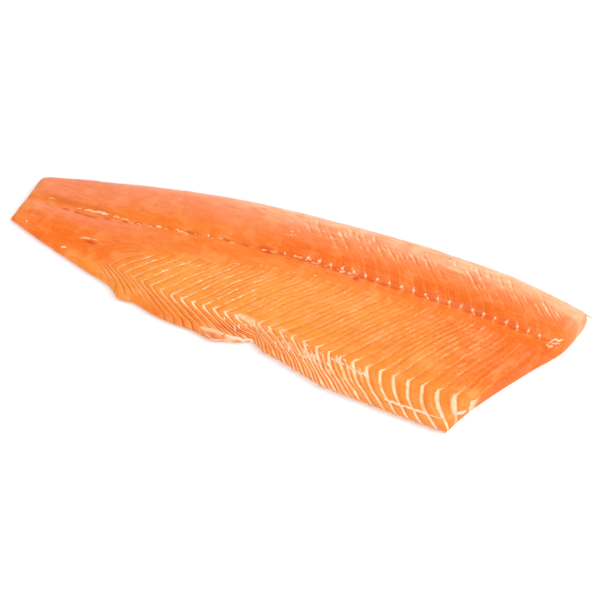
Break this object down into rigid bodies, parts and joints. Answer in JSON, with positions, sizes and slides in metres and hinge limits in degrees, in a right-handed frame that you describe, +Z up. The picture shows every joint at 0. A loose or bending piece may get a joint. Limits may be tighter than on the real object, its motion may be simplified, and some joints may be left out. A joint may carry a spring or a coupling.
{
  "type": "raw salmon fillet",
  "caption": "Whole raw salmon side, cut off the backbone and skinned, pin bones in: flat underside, thick back loin tapering to a thin belly edge and a narrow tail, with slanted cut ends.",
  "frame": {"origin": "middle of the footprint, on the surface that the fillet lies on", "axes": "+X towards the head end, +Y towards the back of the fish, +Z up"},
  "size_m": [0.5224, 0.1764, 0.03],
  "materials": {
    "salmon_flesh": "wet raw flesh with pale fat lines"
  },
  "bodies": {
    "root": {"fillet": "salmon_flesh"}
  },
  "joints": []
}
